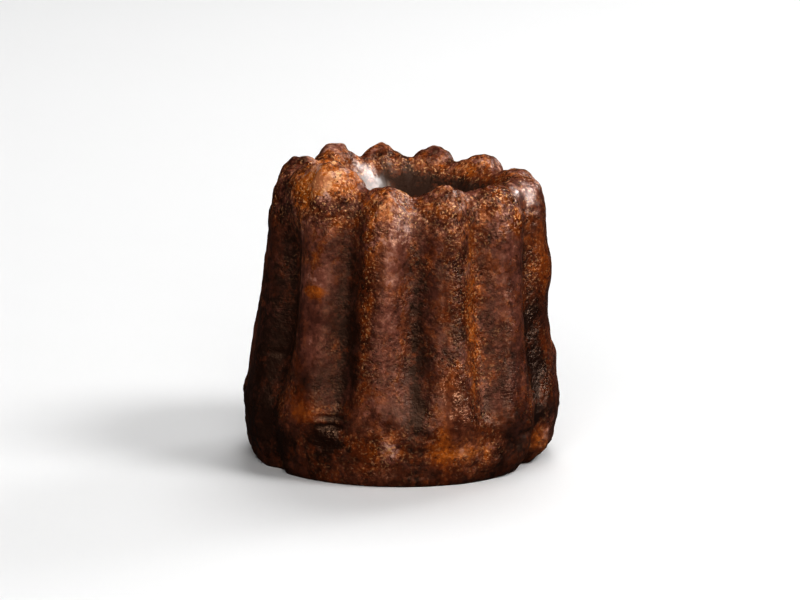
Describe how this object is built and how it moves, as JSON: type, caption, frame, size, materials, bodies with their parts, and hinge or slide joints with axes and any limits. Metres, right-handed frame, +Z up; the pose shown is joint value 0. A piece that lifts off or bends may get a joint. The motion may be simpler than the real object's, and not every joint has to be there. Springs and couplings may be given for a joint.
{
  "type": "canele",
  "caption": "Small fluted cake with a dark caramelised crust, narrowing upwards from a smooth foot band to a scalloped rim round a shallow hollow.",
  "frame": {"origin": "middle of the flat base that the cake stands on", "axes": "+Z up through the hollow in the top, -Y towards the side that the picture shows"},
  "size_m": [0.0543, 0.0537, 0.0542],
  "materials": {
    "crust": "glossy caramelised crust, dark brown"
  },
  "bodies": {
    "root": {"canele": "crust"}
  },
  "joints": []
}
